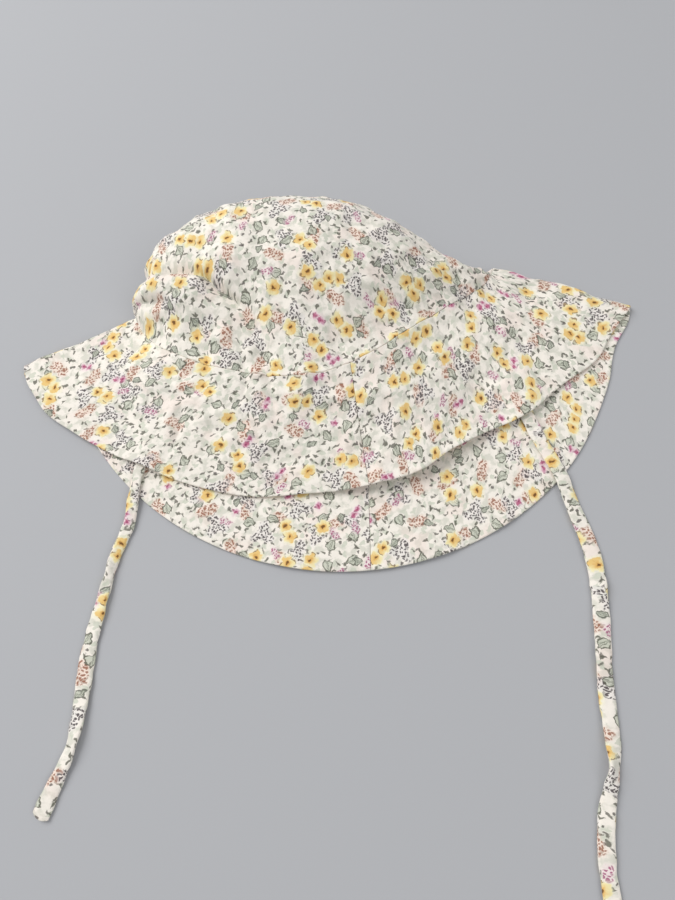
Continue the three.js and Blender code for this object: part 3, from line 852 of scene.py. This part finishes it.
def cosine_share(count):
    """Shares from 0 to 1, closer together at both ends: (1 - cos) / 2 of even steps of a half turn."""
    return (1 - np.cos(np.pi * np.linspace(0, 1, count))) / 2


def head_seam():
    """The brim's own edge at the head seam, from the outermost point of the left fold to that of the right
    one: over the upper layer, and under it along the lower layer."""
    share = np.linspace(0, 1, SEAM_STEPS)
    rolls = [side_roll(fold, np.zeros(1))[0] for fold in (0, 1)]
    middle = ROLL_STEPS // 2
    ends = [(roll[middle - 1] + roll[middle]) / 2 for roll in rolls]
    upper = [ends[:1], rolls[0][:middle][::-1], upper_brim(share, 0 * share), rolls[1][:middle], ends[1:]]
    lower = [ends[:1], rolls[0][middle:], lower_brim(share, 0 * share), rolls[1][middle:][::-1], ends[1:]]
    return np.vstack(upper), np.vstack(lower)


def laid_along(ring, line):
    """Points on a line, as far along it in shares of its length as a ring's points are along the ring."""
    share = running_length(ring) / running_length(ring)[-1]
    length = running_length(line)
    return np.stack([np.interp(share * length[-1], length, line[:, axis]) for axis in range(3)], -1)


def laid_flat(points, normal):
    """Places of the crown's points on the flat cloth: as seen from above, and moved outwards by the cloth
    that its steep side takes. Tilt is the angle of the normal from upright. The move is SIDE_ROUND times
    (tilt - sin tilt) up to the widest line, and past it UNDER_ROUND times (tilt - 90 degrees + 1 - sin tilt)
    more."""
    tilt = np.arccos(np.clip(normal[..., 2], -1, 1))
    outward = normal[..., :2] / np.maximum(np.linalg.norm(normal[..., :2], axis=-1, keepdims=True), 1e-6)
    side = np.minimum(tilt, np.pi / 2)
    past = tilt - side
    move = SIDE_ROUND * (side - np.sin(side)) + UNDER_ROUND * (past + 1 - np.cos(past))
    return points[..., :2] + outward * move[..., None]


def crown_rings(back):
    """Rings of the crown's middle surface, one for each place from the head seam to the back: the domed upper
    layer from left to right, then the flat lower one back to the left. Over the first SEAM_BLEND of the
    depth, the upper layer's height goes from the seam's to the ring's top, with a corner softened by
    SOFT_CORNER. At its sides a layer is a quarter circle, and towards the seam the upper layer's right one is
    squared, for a flat shoulder. The lower layer lifts past BACK_LIFT_FROM. Up to SEAM_REACH, the rings are
    drawn to the brim's own edge."""
    rows = through(CROWN, back)
    left = rows[:, None, 0:2]
    right = rows[:, None, 2:4]
    top, side, reach_left, reach_right, upper_bow, lower_bow = (rows[:, None, 4 + i] for i in range(6))
    chord = np.linalg.norm(right - left, axis=-1)
    seam_left = np.array(CROWN[0][:2])
    seam_right = np.array(CROWN[0][2:4])
    depth = back[:, None]

    def placed(share, seam, keep):
        """Points across a ring: on its chord, and off it by the seam's own bow times the share it keeps."""
        bowed = seam[None, :, :2] - (seam_left + (seam_right - seam_left) * share[:, None])
        return left + (right - left) * share[None, :, None] + bowed * keep[..., None]

    share = cosine_share(CROWN_UPPER_COLUMNS)
    seam = through(UPPER_BRIM, share)[:, :3]
    shoulder = 2 - np.clip(2 * depth, 0, 1)
    still_low = 1 - depth / SEAM_BLEND
    domed = 1 - (np.hypot(still_low, SOFT_CORNER) + still_low) / 2
    from_left = edge_ease(share * chord, np.minimum(reach_left, chord / 2))
    from_right = edge_ease((1 - share) * chord, np.minimum(reach_right, chord / 2)) ** shoulder
    height = seam[None, :, 2] * (1 - domed) + top * domed
    height = side + (height - side) * from_left * from_right
    upper = np.concatenate([placed(share, seam, upper_bow), height[..., None]], -1)

    share = cosine_share(CROWN_LOWER_COLUMNS)
    seam = arc_point(share, HEAD_SEAM_RADIUS, LEFT_SEAM_END, RIGHT_SEAM_END)
    lift = np.clip((depth - BACK_LIFT_FROM) / (1 - BACK_LIFT_FROM), 0, 1)
    under = CROWN_WALL / 2 + BACK_LIFT * lift * lift
    height = side + (under - side) * edge_ease(np.minimum(share, 1 - share) * chord, UNDER_ROUND)
    lower = np.concatenate([placed(share, seam, lower_bow), height[..., None]], -1)
    over_seam, under_seam = head_seam()
    near = (np.clip(1 - depth * CROWN_DEPTH / SEAM_REACH, 0, 1) ** 2)[..., None]
    upper += near * (laid_along(upper[0], over_seam) - upper[0])
    lower += near * (laid_along(lower[0], under_seam) - lower[0])
    return np.concatenate([upper, lower[:, ::-1][:, 1:-1]], 1)


def crown(cloth_start, inside_start):
    """The crown as a closed shell: rings from the head seam to the back and over it to a point, an outer skin
    and an inner one that meet at the seam. The flat underside shows the cloth as it lies there."""
    # The back is no edge, so the close shares at that end are left out.
    back = edged(CROWN_ROWS, CROWN_DEPTH, TURNED_EDGE)[: 1 - len(EDGE_ROWS)]
    middle = crown_rings(back)
    tip = np.array(CROWN_BACK, float)
    last = middle[-1]
    closing = np.linspace(0, np.pi / 2, CAP_RINGS + 1)[1:-1, None, None]
    cap = tip + (last - tip) * np.cos(closing)
    cap[..., 1] = last[:, 1] + (tip[1] - last[:, 1]) * np.sin(closing[..., 0])
    middle = np.concatenate([middle, cap])
    middle[..., :2] += HAT_MIDDLE
    tip[:2] += HAT_MIDDLE
    rows, columns = middle.shape[:2]
    closed = np.arange(columns + 1) % columns
    front = CROWN_UPPER_COLUMNS // 2

    def ring_normals(points):
        """Unit normals of closed rings, pointing outwards."""
        normal = normals_of(np.concatenate([points[:, -1:], points, points[:, :1]], 1))[:, 1:-1]
        return normal * np.sign(normal[rows // 2, front, 2])

    even = ring_normals(middle)
    depth = np.append(back * CROWN_DEPTH, np.full(CAP_RINGS - 1, CROWN_DEPTH))
    middle = pressed(middle, depth[:, None])
    normal = ring_normals(middle)
    half = (CROWN_WALL / 2 * edge_ease(depth, SEAM_EDGE))[:, None, None]
    outer = middle + normal * half
    inner = middle - normal * half
    tips = tip + np.array([(0, CROWN_WALL / 2, 0), (0, -CROWN_WALL / 2, 0)])
    points = np.vstack([outer.reshape(-1, 3), inner[1:].reshape(-1, 3), tips])
    number = np.arange(rows * columns).reshape(rows, columns)
    inner_number = np.vstack([number[:1], number[1:] + (rows - 1) * columns])
    outer_tip = (2 * rows - 1) * columns
    beside = closed[1:]
    outer_fan = np.stack([number[-1], np.full(columns, outer_tip), number[-1, beside]], -1)
    inner_fan = np.stack([inner_number[-1, beside], np.full(columns, outer_tip + 1), inner_number[-1]], -1)

    over_flat = laid_flat(middle, even).reshape(-1, 2)
    tip_flat = laid_flat(tip, np.array([0.0, 1.0, 0.0]))
    under_flat = middle[..., :2].reshape(-1, 2) * (-1, 1) - (0, UNDERSIDE_APART)
    beneath = (even[..., 2] < FACING_DOWN).ravel()
    squares = grid_faces(number[:, closed])
    flat = np.where(beneath[squares].any(1)[:, None, None], under_flat[squares], over_flat[squares])
    last = over_flat.reshape(rows, columns, 2)[-1]
    fan_flat = np.stack([last, np.broadcast_to(tip_flat, last.shape), last[beside]], 1)
    corners = [
        flat.reshape(-1, 2) + cloth_start,
        flat[:, ::-1].reshape(-1, 2) * (-1, 1) + inside_start,
        fan_flat.reshape(-1, 2) + cloth_start,
        fan_flat[:, ::-1].reshape(-1, 2) * (-1, 1) + inside_start,
    ]
    faces = squares.tolist() + grid_faces(inner_number[:, closed])[:, ::-1].tolist()
    faces += outer_fan.tolist() + inner_fan.tolist()
    piece = cloth_piece("crown_cotton", "crown", points, faces, np.vstack(corners))


crown(cloth_start=(2600, 300), inside_start=(3200, 500))


# Floor and light
# A plain pale floor under the hat, a large soft lamp at the upper left and a weaker one at the right.
FLOOR_REACH = 3000
FLOOR_DROP = 0.1
FLOOR_COLOUR = (0.43, 0.435, 0.45, 1)
FLOOR_ROUGHNESS = 0.85
STUDIO_COLOUR = (0.97, 0.98, 1, 1)
STUDIO_STRENGTH = 0.5
floor_mesh = bpy.data.meshes.new("floor")
floor_corners = np.array([(-1, -1, 0), (1, -1, 0), (1, 1, 0), (-1, 1, 0)]) * FLOOR_REACH - (0, 0, FLOOR_DROP)
floor_mesh.from_pydata((floor_corners * MM).tolist(), [], [(0, 1, 2, 3)])
floor_paint = bpy.data.materials.new("floor_paint")
floor_paint.use_nodes = True
floor_shader = floor_paint.node_tree.nodes["Principled BSDF"]
floor_shader.inputs["Base Color"].default_value = FLOOR_COLOUR
floor_shader.inputs["Roughness"].default_value = FLOOR_ROUGHNESS
floor_mesh.materials.append(floor_paint)
floor = bpy.data.objects.new("floor", floor_mesh)
bpy.context.scene.collection.objects.link(floor)


def lamp(name, place, size, watts):
    """A square soft lamp at a place in metres, turned to the hat."""
    light = bpy.data.lights.new(name, "AREA")
    light.shape = "SQUARE"
    light.size = size
    light.energy = watts
    holder = bpy.data.objects.new(name, light)
    holder.location = place
    holder.rotation_euler = Vector(place).to_track_quat("Z", "Y").to_euler()
    bpy.context.scene.collection.objects.link(holder)


lamp("key", (-1.3, 0.7, 1.35), size=1.3, watts=31)
lamp("fill", (1.2, -0.9, 1.3), size=1.2, watts=7)
world = bpy.data.worlds.new("studio")
world.use_nodes = True
world.node_tree.nodes["Background"].inputs["Color"].default_value = STUDIO_COLOUR
world.node_tree.nodes["Background"].inputs["Strength"].default_value = STUDIO_STRENGTH
bpy.context.scene.world = world
bpy.context.scene.view_settings.view_transform = "Standard"
